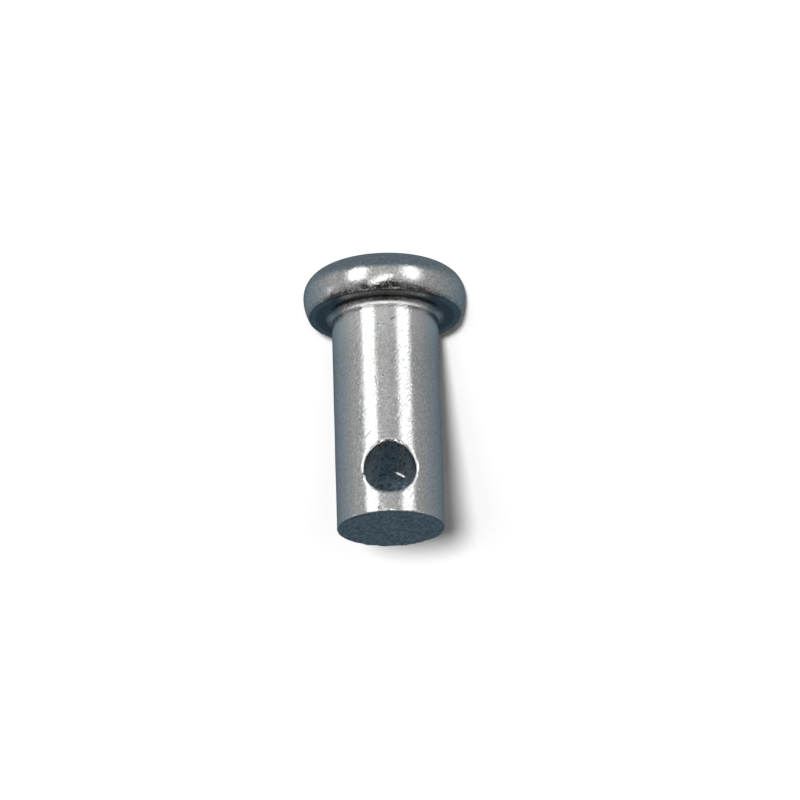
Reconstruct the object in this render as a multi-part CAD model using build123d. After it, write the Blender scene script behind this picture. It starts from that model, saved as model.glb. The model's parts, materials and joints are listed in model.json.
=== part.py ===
from build123d import *
from math import acos, degrees, sqrt
import os

# Clevis pin: a round shank with a thick, rounded head at one end and, near the other end, a cross hole
# for the split ring or cotter that keeps it in place. It is one headed and drilled piece of steel.
#
# Frame: millimetres. The pin stands on its head. The origin is the centre of the head's flat top,
# +Z runs along the axis towards the shank's free end, and the cross hole runs along Y.

# ---------------------------------------------------------------- driving dimensions
SHANK_DIAMETER = 5.0
LENGTH_UNDER_HEAD = 10.5      # from the seat to the free end

HEAD_DIAMETER = 7.6           # across the widest line of the rim
HEAD_THICKNESS = 2.1
RIM_OVERHANG = 0.24           # how far the widest line stands out past the edge of the seat
RIM_LOWER_RADIUS = 2.1        # the rim's section between the seat and the widest line
ROOT_FILLET = 0.3             # where the shank meets the seat

HOLE_DIAMETER = 2.4
HOLE_TO_END = 2.2             # from the hole's axis to the free end
HOLE_EDGE_BREAK = 0.06        # rounding of both mouths of the hole

END_EDGE_BREAK = 0.05         # chamfer of the free end

# ---------------------------------------------------------------- dependent sizes
shank_radius = SHANK_DIAMETER / 2
head_radius = HEAD_DIAMETER / 2
seat_radius = head_radius - RIM_OVERHANG
hole_radius = HOLE_DIAMETER / 2

seat_z = HEAD_THICKNESS
end_z = seat_z + LENGTH_UNDER_HEAD
hole_z = end_z - HOLE_TO_END

# The rim is two arcs that meet at its widest line: the lower one runs from there to the sharp edge of
# the seat, and the upper one, a quarter circle, rolls over into the flat top.
rim_lower_turn = acos(1 - RIM_OVERHANG / RIM_LOWER_RADIUS)
rim_lower_height = sqrt(RIM_LOWER_RADIUS**2 - (RIM_LOWER_RADIUS - RIM_OVERHANG) ** 2)
widest_z = seat_z - rim_lower_height
rim_upper_radius = widest_z
top_flat_radius = head_radius - rim_upper_radius


def pin_profile():
    """Half section of the pin, from the centre of the head's top round to the centre of the free end."""
    with BuildSketch(Plane.XZ) as section:
        with BuildLine():
            Line((0, 0), (top_flat_radius, 0))
            CenterArc((top_flat_radius, widest_z), rim_upper_radius, -90, 90)
            CenterArc((head_radius - RIM_LOWER_RADIUS, widest_z), RIM_LOWER_RADIUS, 0, degrees(rim_lower_turn))
            Line((seat_radius, seat_z), (shank_radius + ROOT_FILLET, seat_z))
            CenterArc((shank_radius + ROOT_FILLET, seat_z + ROOT_FILLET), ROOT_FILLET, 180, 90)
            Polyline(
                (shank_radius, seat_z + ROOT_FILLET),
                (shank_radius, end_z - END_EDGE_BREAK),
                (shank_radius - END_EDGE_BREAK, end_z),
                (0, end_z),
                (0, 0),
            )
        make_face()
    return section.sketch


def cross_hole():
    """Drill for the cross hole, long enough to pass right through the shank."""
    return Pos(0, 0, hole_z) * Rot(X=90) * Cylinder(hole_radius, 2 * SHANK_DIAMETER)


def clevis_pin():
    """The finished pin, with the mouths of its hole rounded."""
    blank = revolve(pin_profile(), Axis.Z)
    drilled = blank - cross_hole()
    on_the_shank = drilled.edges().filter_by(GeomType.LINE, reverse=True)
    mouths = on_the_shank.filter_by(lambda edge: abs(edge.center().Z - hole_z) < hole_radius / 2)
    return fillet(mouths, HOLE_EDGE_BREAK)


os.makedirs("parts", exist_ok=True)
export_step(clevis_pin(), "parts/clevis_pin.step")
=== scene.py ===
import json
import math

import bpy
import numpy as np
from mathutils import Matrix, Vector


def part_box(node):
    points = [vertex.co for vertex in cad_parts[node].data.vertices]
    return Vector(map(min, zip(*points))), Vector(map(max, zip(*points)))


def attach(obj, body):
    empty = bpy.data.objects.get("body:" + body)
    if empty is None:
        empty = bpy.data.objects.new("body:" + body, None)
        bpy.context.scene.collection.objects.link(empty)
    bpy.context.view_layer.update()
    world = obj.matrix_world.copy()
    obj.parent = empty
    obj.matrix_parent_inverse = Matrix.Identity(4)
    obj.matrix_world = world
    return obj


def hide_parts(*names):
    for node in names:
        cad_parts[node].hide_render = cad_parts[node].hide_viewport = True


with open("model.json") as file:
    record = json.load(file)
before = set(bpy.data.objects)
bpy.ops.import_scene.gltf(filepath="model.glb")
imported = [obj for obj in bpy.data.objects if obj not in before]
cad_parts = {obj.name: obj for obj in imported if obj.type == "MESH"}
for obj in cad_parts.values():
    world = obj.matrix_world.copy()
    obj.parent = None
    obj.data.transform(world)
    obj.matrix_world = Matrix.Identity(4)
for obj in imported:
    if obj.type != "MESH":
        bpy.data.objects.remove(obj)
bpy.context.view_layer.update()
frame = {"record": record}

MM = 0.001

# ---------------------------------------------------------------- sizes, from the frame
_, pin_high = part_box("clevis_pin")
mounts = {mount["name"]: mount for mount in frame["record"]["mounts"]}

HEAD_RADIUS = pin_high.x / MM
END_Z = pin_high.z / MM
SHANK_RADIUS = mounts["shank"]["dims"]["r_mm"]
HOLE_RADIUS = mounts["cross_hole"]["dims"]["r_mm"]
HOLE_Z = mounts["cross_hole"]["pos_m"][2] / MM
SEAT_Z = mounts["head_seat"]["pos_m"][2] / MM

# details of the turned form that no mount states
RIM_OVERHANG = 0.24
RIM_LOWER_RADIUS = 2.1
ROOT_FILLET = 0.3
END_EDGE_BREAK = 0.06

# a burnished cone within the fillet: how far out from the shank and up from the seat its ends are
FACET_LOW = (0.075, 0.18)
FACET_HIGH = (0.010, 0.28)

# The broken edge of the hole's mouths. Each ring is how far out from the bore it is and how far below the
# facet, as shares of the break. The facet's tilt is in degrees, and more is added on the head's side.
MOUTH_EDGE_BREAK = 0.15
MOUTH_RINGS = ((1.0, 0.0), (0.85, 0.0), (0.55, 0.0), (0.25, 0.0), (0.08, 0.1), (0.0, 0.4))
MOUTH_TILT = 9
MOUTH_TILT_TO_HEAD = 24

SEAT_RADIUS = HEAD_RADIUS - RIM_OVERHANG
RIM_TURN = math.degrees(math.acos(1 - RIM_OVERHANG / RIM_LOWER_RADIUS))
WIDEST_Z = SEAT_Z - RIM_LOWER_RADIUS * math.sin(math.radians(RIM_TURN))
TOP_FLAT_RADIUS = HEAD_RADIUS - WIDEST_Z

# ---------------------------------------------------------------- mesh resolution
COLUMNS = 336
PATCH_COLUMNS = 39          # half the width of the square round each hole mouth, in columns
PATCH_HALF_HEIGHT = 1.75
PATCH_ROWS = 46
PATCH_LAYERS = 14
BORE_ROWS = 44
POLE_RADIUS = 0.12          # the innermost ring of the head's top and of the end face


# ---------------------------------------------------------------- smooth noise
def lattice(i, j, k, seed):
    """A repeatable number in -1..1 at each whole-number point."""
    mix = (i * 73856093) ^ (j * 19349663) ^ (k * 83492791) ^ (seed * 40503001)
    mix = ((mix ^ (mix >> 13)) * 1274126177) & 0xFFFFFFFF
    return ((mix ^ (mix >> 16)) & 0xFFFF) / 32767.5 - 1.0


def noise(points, size, seed):
    """Smooth noise in -1..1 at the points, with bumps about size across."""
    scaled = points / size
    base = np.floor(scaled).astype(np.int64)
    part = scaled - base
    part = part * part * part * (part * (part * 6 - 15) + 10)
    total = np.zeros(len(points))
    for corner in np.ndindex(2, 2, 2):
        weight = np.prod(np.where(corner, part, 1 - part), axis=1)
        total += weight * lattice(*(base + corner).T, seed)
    return total


def smooth(value, start, stop):
    """0 before start, 1 after stop, and a smooth step between them, in either direction."""
    part = np.clip((value - start) / (stop - start), 0, 1)
    return part * part * (3 - 2 * part)


# ---------------------------------------------------------------- the turned form
def arc(centre, radius, start, stop, steps):
    turn = np.radians(np.linspace(start, stop, steps + 1))
    return np.column_stack([centre[0] + radius * np.cos(turn), centre[1] + radius * np.sin(turn)])


def line(start, stop, steps):
    return np.linspace(start, stop, steps + 1)


def curve(start, middle, stop, steps):
    """A smooth bend that leaves start towards middle and reaches stop from there."""
    start, middle, stop = np.array(start), np.array(middle), np.array(stop)
    part = np.linspace(0, 1, steps + 1)[:, None]
    return (1 - part) ** 2 * start + 2 * part * (1 - part) * middle + part**2 * stop


def profile():
    """Half the pin's section: (radius, height) rows, the region between each two, and the first and last
    row of the square round each hole mouth."""
    low, high = [(SHANK_RADIUS + out, SEAT_Z + up) for out, up in (FACET_LOW, FACET_HIGH)]
    slope = (low[0] - high[0]) / (high[1] - low[1])
    seat_bend = (low[0] + slope * (low[1] - SEAT_Z), SEAT_Z)
    shank_bend = (SHANK_RADIUS, high[1] + (high[0] - SHANK_RADIUS) / slope)
    shank_start = (SHANK_RADIUS, 2 * shank_bend[1] - high[1])
    edge_z = END_Z - END_EDGE_BREAK
    patch_low = (SHANK_RADIUS, HOLE_Z - PATCH_HALF_HEIGHT)
    patch_high = (SHANK_RADIUS, HOLE_Z + PATCH_HALF_HEIGHT)
    # the region and the shape of each stretch; the shape's last number is how many rows the stretch has
    below_patch = [
        ("rim", line((POLE_RADIUS, 0), (TOP_FLAT_RADIUS, 0), 9)),
        ("rim", arc((TOP_FLAT_RADIUS, WIDEST_Z), WIDEST_Z, -90, 0, 32)),
        ("rim", arc((HEAD_RADIUS - RIM_LOWER_RADIUS, WIDEST_Z), RIM_LOWER_RADIUS, 0, RIM_TURN, 20)),
        ("seat", line((SEAT_RADIUS, SEAT_Z), (SHANK_RADIUS + ROOT_FILLET, SEAT_Z), 14)),
        ("seat", curve((SHANK_RADIUS + ROOT_FILLET, SEAT_Z), seat_bend, low, 7)),
        ("seat", line(low, high, 3)),
        ("seat", curve(high, shank_bend, shank_start, 3)),
        ("shank", line(shank_start, patch_low, 82)),
    ]
    rest = [
        ("shank", line(patch_low, patch_high, PATCH_ROWS)),
        ("shank", line(patch_high, (SHANK_RADIUS, edge_z), 6)),
        ("shank", arc((SHANK_RADIUS - END_EDGE_BREAK, edge_z), END_EDGE_BREAK, 0, 90, 3)),
        ("end", line((SHANK_RADIUS - END_EDGE_BREAK, END_Z), (POLE_RADIUS, END_Z), 22)),
    ]
    stretches = below_patch + rest
    rows = [stretches[0][1]] + [stretch[1:] for _, stretch in stretches[1:]]
    bands = [region for region, stretch in stretches for _ in stretch[1:]]
    first = sum(len(part) for part in rows[:len(below_patch)]) - 1
    return np.vstack(rows), bands, first, first + PATCH_ROWS


def on_pin(bearing, radius, height):
    """Points at a bearing in radians, as an array of x, y, z rows."""
    return np.column_stack([radius * np.sin(bearing), -radius * np.cos(bearing), height])


def patch_loop(first, last, side):
    """The grid nodes round the hole's square, from the middle of its +X side by way of +Z."""
    middle = (first + last) // 2
    edge = PATCH_COLUMNS
    steps = [(row, edge) for row in range(middle, last)]
    steps += [(last, across) for across in range(edge, -edge, -1)]
    steps += [(row, -edge) for row in range(last, first, -1)]
    steps += [(first, across) for across in range(-edge, edge)]
    steps += [(row, edge) for row in range(first, middle)]
    turn = COLUMNS // 2
    return [(row, across % COLUMNS if side > 0 else (turn - across) % COLUMNS) for row, across in steps]


def mouth_rings(angle, side):
    """Rings from the shank's surface over the mouth's broken edge to the bore. angle is about the hole's
    axis. The edge was broken by hand: a shallow facet, and a small bend into the bore."""
    rings = []
    tilt = np.radians(MOUTH_TILT + MOUTH_TILT_TO_HEAD * smooth(-np.sin(angle), 0.88, 0.95))
    for out, below in MOUTH_RINGS:
        reach = HOLE_RADIUS + MOUTH_EDGE_BREAK * out
        depth = np.sqrt(SHANK_RADIUS**2 - (reach * np.cos(angle)) ** 2)
        depth -= MOUTH_EDGE_BREAK * ((1 - out) * np.tan(tilt) + below)
        rings.append(np.column_stack([reach * np.cos(angle), -side * depth, HOLE_Z + reach * np.sin(angle)]))
    return rings


def patch_rings(rows, loop, side):
    """All the rings from just inside the hole's square to the bore."""
    corner = np.array([rows[row][1] - HOLE_Z for row, _ in loop])
    turn = np.array([column for _, column in loop]) * 2 * np.pi / COLUMNS
    across = SHANK_RADIUS * np.arctan2(np.sin(turn), side * np.cos(turn))
    even = np.arange(len(loop)) * 2 * np.pi / len(loop)
    true = np.unwrap(np.arctan2(corner, across))
    angle = (even + true) / 2
    reach = HOLE_RADIUS + MOUTH_EDGE_BREAK
    mouth_across = SHANK_RADIUS * np.arcsin(reach * np.cos(angle) / SHANK_RADIUS)
    mouth_up = reach * np.sin(angle)
    rings = []
    for layer in range(1, PATCH_LAYERS):
        part = layer / PATCH_LAYERS
        around = (across + (mouth_across - across) * part) / SHANK_RADIUS
        up = corner + (mouth_up - corner) * part
        rings.append(np.column_stack([SHANK_RADIUS * np.sin(around), -side * SHANK_RADIUS * np.cos(around),
                                      HOLE_Z + up]))
    return rings + mouth_rings(angle, side)


class Surface:
    """A mesh in the making: its points, its faces and the region of each face."""

    def __init__(self):
        self.points, self.faces, self.regions, self.count = [], [], [], 0

    def add(self, points):
        """Takes points in and gives their numbers."""
        self.points.append(points)
        self.count += len(points)
        return list(range(self.count - len(points), self.count))

    def face(self, corners, region):
        self.faces.append(corners)
        self.regions.append(region)

    def strip(self, ring_a, ring_b, region):
        """Quads between two closed rings."""
        for k in range(len(ring_a)):
            n = (k + 1) % len(ring_a)
            self.face((ring_a[k], ring_a[n], ring_b[n], ring_b[k]), region)


def add_lathe(surface, rows, bands, first, last):
    """The turned form, closed at both poles, with a square left open round each hole mouth."""
    bearings = np.arange(COLUMNS) * 2 * np.pi / COLUMNS
    for radius, height in rows:
        surface.add(on_pin(bearings, radius, np.full(COLUMNS, height)))
    hidden = set()
    for centre in (0, COLUMNS // 2):
        hidden |= {(centre + step) % COLUMNS for step in range(-PATCH_COLUMNS, PATCH_COLUMNS)}
    for row in range(len(rows) - 1):
        for column in range(COLUMNS):
            if first <= row < last and column in hidden:
                continue
            beside = (column + 1) % COLUMNS
            low, high = row * COLUMNS, (row + 1) * COLUMNS
            surface.face((low + column, low + beside, high + beside, high + column), bands[row])
    top, end = surface.add(np.array([[0, 0, rows[0][1]], [0, 0, rows[-1][1]]]))
    high = (len(rows) - 1) * COLUMNS
    for column in range(COLUMNS):
        beside = (column + 1) % COLUMNS
        surface.face((top, beside, column), "rim")
        surface.face((end, high + column, high + beside), "end")


def add_mouth(surface, rows, first, last, side):
    """One hole mouth. Gives the numbers and the points of its last ring, which is in the bore."""
    loop = patch_loop(first, last, side)
    before = [row * COLUMNS + column for row, column in loop]
    for ring in patch_rings(rows, loop, side):
        numbers = surface.add(ring)
        if side > 0:
            surface.strip(before, numbers, "shank")
        else:
            surface.strip(numbers, before, "shank")
        before = numbers
    return before, ring


def build_pin():
    """The points, the faces as index lists, and the region of each face."""
    surface = Surface()
    rows, bands, first, last = profile()
    add_lathe(surface, rows, bands, first, last)
    before, near = add_mouth(surface, rows, first, last, 1)
    far_numbers, far = add_mouth(surface, rows, first, last, -1)
    for row in range(1, BORE_ROWS):
        part = row / BORE_ROWS
        numbers = surface.add(near * (1 - part) + far * part)
        surface.strip(before, numbers, "bore")
        before = numbers
    surface.strip(before, far_numbers, "bore")
    return np.vstack(surface.points), surface.faces, surface.regions


def drop_unused(points, faces):
    """Leaves out the grid's points inside the two squares, which no face uses."""
    used = np.zeros(len(points), bool)
    for face in faces:
        used[list(face)] = True
    number = np.cumsum(used) - 1
    return points[used], [tuple(int(number[corner]) for corner in face) for face in faces]


def normals_of(points, faces):
    """Outward unit normals at the points, from the faces round each."""
    total = np.zeros_like(points)
    for corners in (4, 3):
        index = np.array([face for face in faces if len(face) == corners])
        place = [points[index[:, corner]] for corner in range(corners)]
        if corners == 4:
            face_normal = np.cross(place[2] - place[0], place[3] - place[1])
        else:
            face_normal = np.cross(place[1] - place[0], place[2] - place[0])
        for corner in range(corners):
            np.add.at(total, index[:, corner], face_normal)
    return total / np.maximum(np.linalg.norm(total, axis=1, keepdims=True), 1e-12)


# The curl of metal in the bore. It starts at a turn about the hole's axis and sweeps on, in degrees. Each of
# its three corners is how far back it is from the front edge, and how far it stands off the bore's wall:
# below 0 is rooted in the wall, and None is the crest, which stands off by up to SLIVER_STAND.
SLIVER_STEPS = 24
SLIVER_START = -104
SLIVER_SWEEP = -28
SLIVER_Y = 1.60
SLIVER_STAND = 0.10
SLIVER_CORNERS = ((0.0, -0.02), (0.03, None), (0.12, -0.02))


def torn_sliver():
    """A curl of metal left in the bore near its far mouth: closed, three-sided, and rooted in the wall."""
    part = np.linspace(0, 1, SLIVER_STEPS + 1)
    turn = np.radians(SLIVER_START + SLIVER_SWEEP * part)
    along = np.full(SLIVER_STEPS + 1, SLIVER_Y)
    stand = SLIVER_STAND * np.sqrt(np.sin(np.pi * (part * 0.94 + 0.03)))
    corners = []
    for back, off_wall in SLIVER_CORNERS:
        reach = HOLE_RADIUS - (stand if off_wall is None else off_wall)
        corners.append(np.column_stack([reach * np.cos(turn), along + back, HOLE_Z + reach * np.sin(turn)]))
    points = np.stack(corners, axis=1).reshape(-1, 3)
    end = 3 * SLIVER_STEPS
    faces = [(0, 1, 2), (end + 2, end + 1, end)]
    for step in range(SLIVER_STEPS):
        for side in range(3):
            a, b = 3 * step + side, 3 * step + (side + 1) % 3
            faces.append((a, a + 3, b + 3, b))
    return points, faces


# burrs raised by the tools, and one dent: bearing, height, size and rise
BURRS = ((29, 10.73, 0.10, 0.04), (14, 12.46, 0.07, 0.03), (4, 12.48, 0.06, 0.025), (76, 5.65, 0.07, -0.015))

# how uneven each zone is: the depth, the size and the seed of each layer of noise
UNEVENNESS = {
    "shank": ((0.0040, 1.3, 1), (0.0008, 0.3, 2)),
    "rim": ((0.0050, 0.7, 3), (0.0008, 0.2, 4)),
    "upset": ((0.0035, 0.17, 11),),
    "seat_edge": ((0.010, 0.4, 5), (0.004, 0.13, 6)),
    "mouth": ((0.010, 0.45, 7), (0.003, 0.14, 8)),
    "bore": ((0.008, 0.5, 12),),
    "end": ((0.014, 0.35, 9), (0.010, 0.14, 10)),
}


def relief_zones(points):
    """How strongly each zone of UNEVENNESS holds at each point: 0 to 1, or up to 1.3 for the upset rim in
    front."""
    height = points[:, 2]
    reach = np.hypot(points[:, 0], points[:, 1])
    bearing = np.degrees(np.arctan2(points[:, 0], -points[:, 1]))
    from_hole = np.hypot(points[:, 0], points[:, 2] - HOLE_Z)
    rim = smooth(height, 0.05, 0.4) * smooth(height, SEAT_Z + 0.03, SEAT_Z - 0.05)
    upset = smooth(height, SEAT_Z - 0.50, SEAT_Z - 0.32) * smooth(height, SEAT_Z + 0.02, SEAT_Z - 0.08)
    near_seat = smooth(height, SEAT_Z - 0.16, SEAT_Z - 0.02)
    near_end = smooth(height, END_Z - 0.14, END_Z - 0.04)
    return {
        "shank": smooth(height, SEAT_Z + 0.3, SEAT_Z + 0.8),
        "rim": rim,
        "upset": upset * (0.3 + smooth(np.abs(bearing), 22, 6)) * rim,
        "seat_edge": smooth(reach, SEAT_RADIUS - 0.12, SEAT_RADIUS - 0.02) * near_seat,
        "mouth": smooth(np.abs(from_hole - HOLE_RADIUS), 0.16, 0.04) * (np.abs(points[:, 1]) > 1.5),
        "bore": smooth(from_hole, HOLE_RADIUS + 0.03, HOLE_RADIUS + 0.01),
        "end": near_end * smooth(reach, SHANK_RADIUS - 0.14, SHANK_RADIUS - 0.04),
    }


def surface_relief(points):
    """How far each point stands off the true form, in mm."""
    relief = np.zeros(len(points))
    zones = relief_zones(points)
    for name, layers in UNEVENNESS.items():
        relief += zones[name] * sum(depth * noise(points, size, seed) for depth, size, seed in layers)
    bearing = np.degrees(np.arctan2(points[:, 0], -points[:, 1]))
    outside = np.hypot(points[:, 0], points[:, 1]) > SHANK_RADIUS - 0.2
    for burr_bearing, burr_height, size, rise in BURRS:
        around = np.radians(bearing - burr_bearing) * SHANK_RADIUS
        far = np.hypot(around, points[:, 2] - burr_height) / size
        relief += rise * np.exp(-far * far) * outside
    return relief


REGIONS = ("rim", "seat", "shank", "end", "bore")


def make_pin():
    points, faces, regions = build_pin()
    points, faces = drop_unused(points, faces)
    points = points + normals_of(points, faces) * surface_relief(points)[:, None]
    sliver, sliver_faces = torn_sliver()
    rounded = [True] * len(faces) + [False] * len(sliver_faces)
    faces += [tuple(corner + len(points) for corner in face) for face in sliver_faces]
    regions += ["shank"] * len(sliver_faces)
    points = np.vstack([points, sliver])
    mesh = bpy.data.meshes.new("clevis_pin_surface")
    mesh.from_pydata((points * MM).tolist(), [], faces)
    mesh.polygons.foreach_set("material_index", [REGIONS.index(region) for region in regions])
    mesh.polygons.foreach_set("use_smooth", rounded)
    mesh.update()
    return add_object("clevis_pin_turned_body", mesh)


# ---------------------------------------------------------------- helpers for objects and nodes
def add_object(name, data):
    made = bpy.data.objects.new(name, data)
    bpy.context.scene.collection.objects.link(made)
    return made


def new_material(name):
    """A material, its node tree and its shader."""
    material = bpy.data.materials.new(name)
    material.use_nodes = True
    return material, material.node_tree, material.node_tree.nodes["Principled BSDF"]


def node(tree, kind, inputs=None, **settings):
    """A new node, with its settings made and its inputs set or joined."""
    made = tree.nodes.new(kind)
    for name, value in settings.items():
        setattr(made, name, value)
    for name, value in (inputs or {}).items():
        if isinstance(value, bpy.types.NodeSocket):
            tree.links.new(value, made.inputs[name])
        else:
            made.inputs[name].default_value = value
    return made


def math_node(tree, operation, first, second=0.0):
    return node(tree, "ShaderNodeMath", {0: first, 1: second}, operation=operation).outputs[0]


def times(tree, first, second):
    return math_node(tree, "MULTIPLY", first, second)


def larger(tree, first, second):
    return math_node(tree, "MAXIMUM", first, second)


def add_up(tree, values):
    total = values[0]
    for value in values[1:]:
        total = math_node(tree, "ADD", total, value)
    return total


def vector_node(tree, operation, inputs):
    """A sum on vectors: its vector, or its number where the operation gives one."""
    made = node(tree, "ShaderNodeVectorMath", inputs, operation=operation)
    return made.outputs["Value" if operation in ("LENGTH", "DISTANCE", "DOT_PRODUCT") else "Vector"]


def part_of(tree, place, axis):
    """One coordinate of place: X, Y or Z."""
    return node(tree, "ShaderNodeSeparateXYZ", {0: place}).outputs[axis]


def reach_of(tree, place):
    """The distance from the pin's axis."""
    return vector_node(tree, "LENGTH", {0: vector_node(tree, "MULTIPLY", {0: place, 1: (1, 1, 0)})})


def turned(tree, place, angle):
    """Coordinates turned about Z by an angle in radians."""
    inputs = {"Vector": place, "Angle": angle}
    return node(tree, "ShaderNodeVectorRotate", inputs, rotation_type="Z_AXIS").outputs[0]


def step_node(tree, value, start, stop):
    """0 before start and 1 after stop, or the other way round if stop is the smaller."""
    low, high = min(start, stop), max(start, stop)
    ends = (0.0, 1.0) if stop > start else (1.0, 0.0)
    inputs = {"Value": value, "From Min": low, "From Max": high, "To Min": ends[0], "To Max": ends[1]}
    return node(tree, "ShaderNodeMapRange", inputs, interpolation_type="SMOOTHSTEP").outputs[0]


def mix_colour(tree, share, first, second):
    made = node(tree, "ShaderNodeMix", data_type="RGBA")
    for socket, value in ((made.inputs[0], share), (made.inputs[6], first), (made.inputs[7], second)):
        if isinstance(value, bpy.types.NodeSocket):
            tree.links.new(value, socket)
        else:
            socket.default_value = value
    return made.outputs[2]


def grey(level, tint=(1, 1, 1)):
    return (level * tint[0], level * tint[1], level * tint[2], 1)


# ---------------------------------------------------------------- patterns on the metal
def millimetres(tree):
    """The object's own coordinates, in millimetres."""
    place = node(tree, "ShaderNodeTexCoord").outputs["Object"]
    return vector_node(tree, "SCALE", {0: place, "Scale": 1 / MM})


def texture(tree, place, size, detail=0.0, roughness=0.5):
    """Noise of about 0..1 whose bumps are size across: one number, or (x, y, z)."""
    if not isinstance(size, tuple):
        size = (size, size, size)
    scaled = vector_node(tree, "MULTIPLY", {0: place, 1: tuple(1 / length for length in size)})
    inputs = {"Vector": scaled, "Scale": 1.0, "Detail": detail, "Roughness": roughness}
    return node(tree, "ShaderNodeTexNoise", inputs).outputs[0]


def scaled_noise(tree, place, size, height, detail):
    return times(tree, texture(tree, place, size, detail), height)


def twisted(tree, place, turn_per_mm):
    """Coordinates that stay the same along a helix that turns by turn_per_mm radians for each mm up."""
    return turned(tree, place, times(tree, part_of(tree, place, "Z"), -turn_per_mm))


def helix(tree, place, slant):
    """Coordinates that stay the same along a line on the shank that leans by slant degrees from the axis."""
    return twisted(tree, place, math.tan(math.radians(slant)) / SHANK_RADIUS)


SAW_ANGLE = -71


def sawn(tree, place):
    """Coordinates turned so that X runs along the saw's marks on the end."""
    return turned(tree, place, math.radians(SAW_ANGLE))


def in_front(tree, place, none, full):
    """1 where X is within full mm of the middle, in front of the pin and behind it, and 0 beyond none."""
    return step_node(tree, math_node(tree, "ABSOLUTE", part_of(tree, place, "X")), none, full)


# scratches, pits and specks on the shank: bearing and height of both ends, width, how dark, and depth,
# which is below 0 for a bright speck that stands proud
MARKS = (
    ((27.5, 8.93), (19.5, 8.61), 0.035, 0.45, 0.006),
    ((13.4, 5.90), (10.7, 6.48), 0.030, 0.3, 0.006),
    ((2.0, 3.38), (2.5, 3.36), 0.050, 0.6, 0.012),
    ((9.0, 3.36), (8.0, 3.34), 0.045, 0.6, 0.012),
    ((-5.0, 3.16), (-9.0, 3.04), 0.040, 0.5, 0.010),
    ((5.4, 5.97), (4.9, 5.99), 0.070, 0.0, -0.010),
    ((-27.0, 6.32), (-27.4, 6.34), 0.065, 0.0, -0.007),
    ((-26.6, 6.53), (-27.0, 6.56), 0.065, 0.0, -0.007),
)

# dirt caught on the rim by the seat's edge: bearing and height of both ends, and width
SMUDGES = (
    ((-9, 1.98), (15, 1.96), 0.26),
    ((-8, 1.87), (1, 1.86), 0.19),
    ((-31, 1.99), (-18, 1.98), 0.21),
    ((-46, 2.06), (-33, 2.04), 0.12),
    ((27, 2.03), (42, 2.05), 0.17),
)
SMUDGE_STRAY = 0.36         # how far the smudges' outlines wander


def unrolled(tree, place):
    """The surface laid flat: how far round the shank from the camera's side, and how high, in mm."""
    back = times(tree, part_of(tree, place, "Y"), -1.0)
    bearing = math_node(tree, "ARCTAN2", part_of(tree, place, "X"), back)
    inputs = {0: times(tree, bearing, SHANK_RADIUS), 1: part_of(tree, place, "Z")}
    return node(tree, "ShaderNodeCombineXYZ", inputs).outputs[0]


def mark_shape(tree, flat, start, stop, width):
    """1 on the line from start to stop, each a bearing and a height, and 0 beyond its width."""
    low, high = [Vector((math.radians(bearing) * SHANK_RADIUS, height, 0))
                 for bearing, height in (start, stop)]
    away = vector_node(tree, "SUBTRACT", {0: flat, 1: low})
    run = (high - low).normalized()
    along = vector_node(tree, "DOT_PRODUCT", {0: away, 1: run})
    inputs = {"Value": along, "Min": 0.0, "Max": (high - low).length}
    nearest = node(tree, "ShaderNodeClamp", inputs).outputs[0]
    foot = vector_node(tree, "SCALE", {0: run, "Scale": nearest})
    return step_node(tree, vector_node(tree, "DISTANCE", {0: away, 1: foot}), width, 0.0)


def shank_marks(tree, place, column):
    """All the marks, each scaled by its darkness (column 3) or its depth (column 4)."""
    flat = unrolled(tree, place)
    return add_up(tree, [times(tree, mark_shape(tree, flat, *mark[:3]), mark[column])
                         for mark in MARKS if mark[column]])


# ---------------------------------------------------------------- metal
# the colour that dirt, marks and painted shade darken the metal to, and the grey of painted sheen
DIRT_AND_SHADE_COLOUR = (0.05, 0.045, 0.04, 1)
SHEEN_GREY = 0.93


def steel(name, base, mottle, roughness, grain, relief, dirt_and_shade, painted_sheen=None):
    """A bare metal. base is its shade, grain(tree, place) is a pattern of about 0..1 and mottle is how far
    the shade strays with it. roughness is the least and the most. relief(tree, place) is its fine height in
    mm, grime(tree, place) where dirt, marks or painted shade darken it, and polish(tree, place) where
    painted sheen brightens it."""
    material, tree, shader = new_material(name)
    shader.inputs["Metallic"].default_value = 1.0
    place = millimetres(tree)
    patches = texture(tree, place, (0.35, 0.35, 0.5), 4.0, 0.6)
    inputs = {"Value": patches, "From Min": 0.3, "From Max": 0.7}
    inputs |= {"To Min": roughness[0], "To Max": roughness[1]}
    tree.links.new(node(tree, "ShaderNodeMapRange", inputs).outputs[0], shader.inputs["Roughness"])
    shade = step_node(tree, grain(tree, place), 0.38, 0.62)
    tint = mix_colour(tree, shade, grey(base - mottle), grey(base + mottle))
    # painted sheen: a lighter colour that stands in for light
    if painted_sheen:
        tint = mix_colour(tree, painted_sheen(tree, place), tint, grey(SHEEN_GREY))
    # dirt and marks, and on the rim and seat also painted shade, darken the colour
    tint = mix_colour(tree, dirt_and_shade(tree, place), tint, DIRT_AND_SHADE_COLOUR)
    tree.links.new(tint, shader.inputs["Base Color"])
    bump = node(tree, "ShaderNodeBump", {"Height": relief(tree, place), "Distance": MM, "Strength": 1.0})
    tree.links.new(bump.outputs[0], shader.inputs["Normal"])
    return material


# the rim
def rim_grain(tree, place):
    return texture(tree, place, 0.14, 3.0, 0.65)


def rim_relief(tree, place):
    """The upset head: an orange-peel grain, a finer one over it, and faint streaks along the axis."""
    return add_up(tree, [
        scaled_noise(tree, place, 0.15, 0.0056, 0.5),
        scaled_noise(tree, place, 0.06, 0.0032, 1.0),
        scaled_noise(tree, twisted(tree, place, 0.2), (0.05, 0.05, 0.3), 0.0010, 0.5),
    ])


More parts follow.
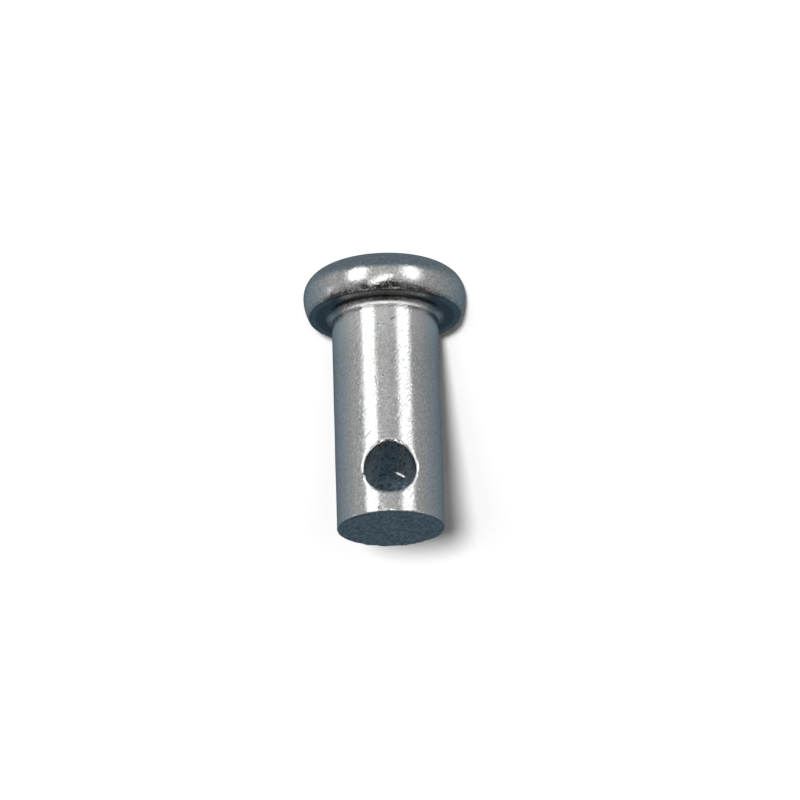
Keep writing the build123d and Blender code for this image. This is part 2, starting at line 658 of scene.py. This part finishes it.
def rim_dirt_and_shade(tree, place):
    """A ragged dark line along the edge of the seat, dirt with painted shade added in front and behind,
    where it is strongest, and the smudges.
    """
    height = part_of(tree, place, "Z")
    ragged = add_up(tree, [height, scaled_noise(tree, place, 0.32, 0.50, 1.0),
                           scaled_noise(tree, place, 0.11, 0.20, 1.0)])
    line = times(tree, step_node(tree, ragged, SEAT_Z + 0.16, SEAT_Z + 0.34), 0.85)
    # painted shade: the line is darkest in front and behind
    line = times(tree, line, larger(tree, in_front(tree, place, 3.2, 2.5), 0.4))
    stray = node(tree, "ShaderNodeTexNoise", {"Vector": place, "Scale": 5.0, "Detail": 2.0}).outputs["Color"]
    stray = vector_node(tree, "SCALE", {0: stray, "Scale": SMUDGE_STRAY})
    flat = vector_node(tree, "ADD", {0: unrolled(tree, place), 1: stray})
    flat = vector_node(tree, "SUBTRACT", {0: flat, 1: (SMUDGE_STRAY / 2,) * 3})
    smudges = add_up(tree, [mark_shape(tree, flat, *smudge) for smudge in SMUDGES])
    curls = step_node(tree, texture(tree, place, 0.09, 1.0), 0.64, 0.46)
    return larger(tree, line, times(tree, math_node(tree, "MINIMUM", smudges, 0.9), curls))


# the seat
def seat_grain(tree, place):
    return texture(tree, place, 0.11, 2.0, 0.7)


def seat_relief(tree, place):
    """Faint turning rings with grain."""
    along = node(tree, "ShaderNodeCombineXYZ", {0: reach_of(tree, place)}).outputs[0]
    return add_up(tree, [
        scaled_noise(tree, along, (0.08, 1, 1), 0.0016, 1.0),
        scaled_noise(tree, place, 0.07, 0.0014, 1.0),
    ])


def seat_dirt_and_shade(tree, place):
    """Darkening of the seat, part dirt and part painted shade: a film that reaches its edge in front and
    behind, specks all over, and black lines in the root and along the edge, in front and behind, which are
    dirt deepened by painted shade. The fillet's upper part is clean."""
    reach = reach_of(tree, place)
    front = in_front(tree, place, 2.9, 2.2)
    ragged = math_node(tree, "ADD", reach, scaled_noise(tree, place, 0.3, 0.35, 3.0))
    # painted shade: the film reaches the edge only in front and behind
    film = larger(tree, step_node(tree, ragged, SEAT_RADIUS - 0.04, SEAT_RADIUS - 0.20), front)
    film = times(tree, film, step_node(tree, ragged, SHANK_RADIUS + 0.32, SHANK_RADIUS + 0.50))
    fine = math_node(tree, "ADD", reach, scaled_noise(tree, place, 0.14, 0.12, 1.0))
    root = times(tree, step_node(tree, fine, SHANK_RADIUS + 0.19, SHANK_RADIUS + 0.29),
                 step_node(tree, fine, SHANK_RADIUS + 0.55, SHANK_RADIUS + 0.45))
    edge = step_node(tree, fine, SEAT_RADIUS - 0.13, SEAT_RADIUS - 0.03)
    specks = step_node(tree, texture(tree, place, 0.08, 2.0), 0.48, 0.60)
    darkening = times(tree, film, 0.6)
    # black lines in the root and along the edge, in front and behind only: part dirt, part painted shade
    for share, amount in ((specks, 0.6), (times(tree, larger(tree, root, edge), front), 0.94)):
        darkening = larger(tree, darkening, times(tree, share, amount))
    return times(tree, darkening, step_node(tree, reach, SHANK_RADIUS + 0.09, SHANK_RADIUS + 0.13))


# the shank
def shank_grain(tree, place):
    return texture(tree, place, (0.11, 0.11, 0.13), 3.0, 0.7)


def shank_hairs(tree, place):
    """Sparse short scratches that lean like a screw's thread, as on a pin that was tumbled in a bin."""
    slant, width, length, depth = 44, 0.075, 0.20, 0.0042
    streaks = texture(tree, helix(tree, place, slant), (width, width, length), 1.0)
    return times(tree, step_node(tree, streaks, 0.54, 0.70), -depth)


def shank_relief(tree, place):
    """Fine grain, the hair scratches, the marks, and a coarser grain next to the head."""
    near_head = step_node(tree, part_of(tree, place, "Z"), SEAT_Z + 1.5, SEAT_Z + 0.5)
    return add_up(tree, [
        scaled_noise(tree, helix(tree, place, 46), (0.05, 0.05, 0.12), 0.0011, 0.5),
        scaled_noise(tree, place, 0.05, 0.0010, 1.0),
        shank_hairs(tree, place),
        times(tree, shank_marks(tree, place, 4), -1.0),
        times(tree, scaled_noise(tree, place, 0.09, 0.0018, 1.0), near_head),
    ])


def shank_grime(tree, place):
    return shank_marks(tree, place, 3)


def shank_painted_sheen(tree, place):
    """Painted sheen: a brighter colour next to the head, where the shank looks lighter."""
    return times(tree, step_node(tree, part_of(tree, place, "Z"), SEAT_Z + 2.6, SEAT_Z + 0.6), 0.8)


# the sawn end
def end_grain(tree, place):
    """Blotches, with a share of straight streaks along the saw's marks."""
    streaks_share = 0.30
    blotches = texture(tree, place, (0.20, 0.36, 0.2), 3.0, 0.7)
    streaks = texture(tree, sawn(tree, place), (0.8, 0.08, 0.8), 1.0)
    return add_up(tree, [times(tree, blotches, 1 - streaks_share), times(tree, streaks, streaks_share)])


def end_relief(tree, place):
    """Faint straight streaks one way, and pits."""
    return add_up(tree, [
        scaled_noise(tree, sawn(tree, place), (0.9, 0.06, 0.9), 0.0030, 1.0),
        scaled_noise(tree, place, 0.08, 0.0038, 3.0),
    ])


def end_grime(tree, place):
    """Small dark pits."""
    return times(tree, step_node(tree, texture(tree, place, (0.10, 0.26, 0.10), 1.0), 0.65, 0.73), 0.75)


# the drilled bore
def bore_grain(tree, place):
    return texture(tree, place, (0.12, 0.30, 0.12), 2.0, 0.6)


def bore_relief(tree, place):
    """Rings left by the drill, across the hole's axis, with torn specks."""
    return add_up(tree, [
        scaled_noise(tree, place, (0.5, 0.12, 0.5), 0.0030, 1.0),
        scaled_noise(tree, place, (0.12, 0.30, 0.12), 0.0060, 2.0),
    ])


def bore_grime(tree, place):
    """Pits torn by the drill."""
    return step_node(tree, texture(tree, place, (0.13, 0.36, 0.13)), 0.68, 0.73)


def make_finishes():
    """The metal of each region."""
    return {
        "rim": steel("upset_rim", 0.76, 0.11, (0.13, 0.20), rim_grain, rim_relief, rim_dirt_and_shade),
        "seat": steel("turned_seat", 0.62, 0.09, (0.14, 0.20), seat_grain, seat_relief, seat_dirt_and_shade),
        "shank": steel("bright_shank", 0.75, 0.085, (0.11, 0.16), shank_grain, shank_relief, shank_grime,
                       shank_painted_sheen),
        "end": steel("sawn_end", 0.66, 0.20, (0.28, 0.42), end_grain, end_relief, end_grime),
        "bore": steel("drilled_bore", 0.41, 0.11, (0.28, 0.40), bore_grain, bore_relief, bore_grime),
    }


# ---------------------------------------------------------------- the room
CAMERA_BEARING = 0.97
CAMERA_ELEVATION = 20.34

COOL = (0.78, 1.0, 1.14)
WARM = (1.08, 1.0, 0.92)
OLIVE = (0.99, 1.01, 0.98)
SLATE = (0.55, 0.95, 1.25)

# The room is seen only as reflections in the metal. A turn is degrees to the camera's right, and a rise is
# degrees above the horizon. The ring is what is level with the pin; it fades to what is above and below it.
# The ring and what is above have a colour for each turn, the same to both sides.
RING = (
    (0, grey(0.56, OLIVE)), (20, grey(0.49, OLIVE)), (60, grey(0.37, OLIVE)),
    (78, grey(0.36, (0.98, 1, 0.99))), (95, grey(0.305, (0.90, 1, 1.06))), (130, grey(0.225, COOL)),
    (155, grey(0.155, COOL)), (180, grey(0.12, COOL)),
)
ABOVE = (
    (0, grey(0.05, WARM)), (25, grey(0.08, WARM)), (45, grey(0.17)), (70, grey(0.22)), (100, grey(0.19)),
    (125, grey(0.10, SLATE)), (180, grey(0.10, SLATE)),
)
BELOW = grey(0.17, COOL)
ABOVE_FADE = (2, 22)        # the rise where the ring starts to fade to what is above, and where it is gone
BELOW_FADE = (-20, -47)
RIGHT_DARKER = 0.08         # how much darker the ring is to the right than in front, and lighter to the left

# grey cards that shade the ring, and lights: centre and half width as (turn, rise), how soft, how bright,
# and the slant, which is how many degrees of turn a patch leans to the left for each degree of rise
CARDS = (
    ((15, -20), (9, 60), 0.6, 0.45, 0),
    ((-77, -20), (5, 60), 0.6, 0.42, 0),
)
LIGHTS = (
    ((-37.2, -15), (13.0, 18), 0.44, 2.0, 0),
    ((39.3, -15), (13.0, 18), 0.44, 1.65, 0),
    ((-4, 8), (8.5, 11), 0.7, 2.2, 1.08),
    ((-83, 4), (4, 5), 0.5, 0.9, 0),
)
PATCH_SQUARENESS = 2.6      # 2 is an ellipse, and more is squarer

# the long light above, which comes down to both sides
STRIP = ((0, 42.0), (84, 3.2), 0.4)
STRIP_BEND = 0.0021         # degrees of rise lost for each degree of turn squared
STRIP_LEVEL = 2.3

FLOOR_PALENESS = 0.9
FLOOR_HALF_WIDTH_M = 1.2
FLOOR_GAP = 0.02            # the floor is this far below the head's top, so that the two don't coincide
AMBIENT = 0.035             # the light that reaches the floor from the room


def softbox(tree, turn, rise, centre, half, soft, slant=0.0):
    """1 inside a rounded, soft-edged patch of directions and 0 outside it."""
    if slant:
        above = math_node(tree, "SUBTRACT", rise, centre[1])
        turn = math_node(tree, "ADD", turn, times(tree, above, slant))
    total = []
    for value, middle, reach in ((turn, centre[0], half[0]), (rise, centre[1], half[1])):
        part = math_node(tree, "DIVIDE", math_node(tree, "SUBTRACT", value, middle), reach)
        total.append(math_node(tree, "POWER", math_node(tree, "ABSOLUTE", part), PATCH_SQUARENESS))
    away = math_node(tree, "POWER", add_up(tree, total), 1 / PATCH_SQUARENESS)
    return step_node(tree, away, 1 + soft, 1 - soft)


def by_turn(tree, turn, stops):
    """A colour that changes with the turn to either side, from stops of (degrees, colour)."""
    share = math_node(tree, "DIVIDE", math_node(tree, "ABSOLUTE", turn), 180.0)
    made = node(tree, "ShaderNodeValToRGB", {0: share})
    ramp = made.color_ramp
    while len(ramp.elements) < len(stops):
        ramp.elements.new(0.5)
    for element, (place, colour) in zip(ramp.elements, stops):
        element.position = place / 180
        element.color = colour
    return made.outputs["Color"]


def directions(tree):
    """The turn and the rise of the direction looked in, in degrees."""
    direction = node(tree, "ShaderNodeTexCoord").outputs["Generated"]
    parts = node(tree, "ShaderNodeSeparateXYZ", {0: turned(tree, direction, math.radians(-CAMERA_BEARING))})
    right, near = (times(tree, parts.outputs[axis], -1.0) for axis in ("X", "Y"))
    turn = math_node(tree, "DEGREES", math_node(tree, "ARCTAN2", right, near))
    return turn, math_node(tree, "DEGREES", math_node(tree, "ARCSINE", parts.outputs["Z"]))


def make_room():
    """A world of soft studio surroundings for the metal, which is plain white to the camera."""
    world = bpy.data.worlds.new("studio")
    bpy.context.scene.world = world
    world.use_nodes = True
    tree = world.node_tree
    tree.nodes.clear()
    turn, rise = directions(tree)

    def add_patches(colour, patches):
        for centre, half, soft, level, slant in patches:
            patch = softbox(tree, turn, rise, centre, half, soft, slant)
            colour = mix_colour(tree, patch, colour, grey(level))
        return colour

    lean = math_node(tree, "SINE", math_node(tree, "RADIANS", turn))
    inputs = {0: lean, 1: -RIGHT_DARKER, 2: 1.0}
    lean = node(tree, "ShaderNodeMath", inputs, operation="MULTIPLY_ADD").outputs[0]
    colour = vector_node(tree, "SCALE", {0: by_turn(tree, turn, RING), "Scale": lean})
    colour = add_patches(colour, CARDS)
    colour = mix_colour(tree, step_node(tree, rise, *BELOW_FADE), colour, BELOW)
    colour = mix_colour(tree, step_node(tree, rise, *ABOVE_FADE), colour, by_turn(tree, turn, ABOVE))
    colour = add_patches(colour, LIGHTS)
    bend = times(tree, math_node(tree, "POWER", turn, 2.0), STRIP_BEND)
    strip = softbox(tree, turn, math_node(tree, "ADD", rise, bend), *STRIP)
    colour = mix_colour(tree, strip, colour, grey(STRIP_LEVEL))

    rays = node(tree, "ShaderNodeLightPath")
    lit = mix_colour(tree, rays.outputs["Is Diffuse Ray"], colour, grey(AMBIENT))
    seen = mix_colour(tree, rays.outputs["Is Camera Ray"], lit, grey(1.0))
    background = node(tree, "ShaderNodeBackground", {"Color": seen, "Strength": 1.0})
    output = node(tree, "ShaderNodeOutputWorld")
    tree.links.new(background.outputs[0], output.inputs["Surface"])


def add_sheet(name, corners, material, shader):
    """A matt four-cornered sheet that the metal doesn't reflect. Its corners are in metres."""
    shader.inputs["Roughness"].default_value = 1.0
    shader.inputs["Specular IOR Level"].default_value = 0.0
    mesh = bpy.data.meshes.new(name + "_mesh")
    mesh.from_pydata(corners, [], [(0, 1, 2, 3)])
    mesh.materials.append(material)
    sheet = add_object(name, mesh)
    sheet.visible_glossy = False
    return sheet


SQUARE = ((-1, -1), (1, -1), (1, 1), (-1, 1))
# the card seen through the hole is painted shade: a dark mottled sheet that keeps that view dark
CARD_HALF_WIDTH = 1.3
CARD_HALF_DEPTH = 2.4
CARD_HEIGHT = 0.1
HOLE_SHADE_DARK = (0.07, 0.12, 0.17, 1)
HOLE_SHADE_PALE = (0.32, 0.45, 0.55, 1)


def make_floor():
    material, _, shader = new_material("pale_floor")
    shader.inputs["Base Color"].default_value = grey(FLOOR_PALENESS)
    corners = [(x * FLOOR_HALF_WIDTH_M, y * FLOOR_HALF_WIDTH_M, 0) for x, y in SQUARE]
    floor = add_sheet("studio_floor", corners, material, shader)
    floor.visible_shadow = False
    floor.location.z = -FLOOR_GAP * MM


def make_hole_shade_card():
    """A mottled slate card low over the floor, far behind the pin, just big enough to fill the view through
    the hole: painted shade that keeps the view through the hole dark."""
    material, tree, shader = new_material("slate_card")
    blotches = texture(tree, millimetres(tree), (0.22, 0.45, 0.22), 3.0, 0.7)
    shade = mix_colour(tree, step_node(tree, blotches, 0.36, 0.64), HOLE_SHADE_DARK, HOLE_SHADE_PALE)
    tree.links.new(shade, shader.inputs["Base Color"])
    away = HOLE_Z / math.tan(math.radians(CAMERA_ELEVATION))
    bearing = math.radians(CAMERA_BEARING)
    middle_x, middle_y = -away * math.sin(bearing), away * math.cos(bearing)
    corners = [(middle_x + x * CARD_HALF_WIDTH, middle_y + y * CARD_HALF_DEPTH, CARD_HEIGHT)
               for x, y in SQUARE]
    card = add_sheet("hole_card", [[value * MM for value in corner] for corner in corners], material, shader)


def direction_of(bearing, elevation):
    """The unit vector towards a bearing and an elevation in degrees."""
    bearing, elevation = math.radians(bearing), math.radians(elevation)
    level = math.cos(elevation)
    return Vector((math.sin(bearing) * level, -math.cos(bearing) * level, math.sin(elevation)))


def make_sun(name, left, rise, width, share):
    """A distant lamp that lights the floor and that the metal doesn't reflect. How far left of the camera it
    is, its rise above the floor and its width are in degrees, and share is its part of the floor's light."""
    light = bpy.data.lights.new(name, "SUN")
    light.energy = share * math.pi / (FLOOR_PALENESS * math.sin(math.radians(rise)))
    light.angle = math.radians(width)
    lamp = add_object(name, light)
    lamp.rotation_mode = "QUATERNION"
    lamp.rotation_quaternion = direction_of(CAMERA_BEARING + left, rise).to_track_quat("Z", "Y")
    lamp.visible_glossy = False


# ---------------------------------------------------------------- camera
CAMERA_DISTANCE = 300
CAMERA_ROLL = 1.70
AIM_ABOVE_SEAT = 5.0
AIM_RIGHT = 0.566
AIM_DOWN = -0.803
FRAME_WIDTH = 37.24         # the width of the view at the pin
SENSOR_WIDTH = 36


def make_camera():
    """A long lens that looks down on the standing pin, rolled half a turn so that the head is uppermost."""
    bearing, roll = math.radians(CAMERA_BEARING), math.radians(CAMERA_ROLL)
    back = direction_of(CAMERA_BEARING, CAMERA_ELEVATION)
    level = Vector((-math.cos(bearing), -math.sin(bearing), 0))
    down = level.cross(back)
    right = math.cos(roll) * level + math.sin(roll) * down
    down = -math.sin(roll) * level + math.cos(roll) * down
    aim = Vector((0, 0, SEAT_Z + AIM_ABOVE_SEAT)) + AIM_RIGHT * right + AIM_DOWN * down
    camera = add_object("camera", bpy.data.cameras.new("camera"))
    camera.data.sensor_width = SENSOR_WIDTH
    camera.data.lens = SENSOR_WIDTH * CAMERA_DISTANCE / FRAME_WIDTH
    camera.data.clip_start, camera.data.clip_end = 0.01, 3
    axes = Matrix((right, -down, back)).transposed().to_4x4()
    camera.matrix_world = Matrix.Translation((aim + back * CAMERA_DISTANCE) * MM) @ axes
    bpy.context.scene.camera = camera


# ---------------------------------------------------------------- put together
bpy.context.scene.view_settings.view_transform = "Standard"
make_camera()
make_room()
make_floor()
# painted shade seen through the hole
make_hole_shade_card()
make_sun("low_sun", 2.0, 18.6, 2.4, 0.80)
make_sun("left_sun", 5.5, 18.6, 4, 0.09)
make_sun("right_sun", -3.0, 18.6, 4, 0.08)
make_sun("high_sun", 18, 56, 16, 0.02)

pin = make_pin()
finishes = make_finishes()
for region in REGIONS:
    pin.data.materials.append(finishes[region])
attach(pin, "root")
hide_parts("clevis_pin")
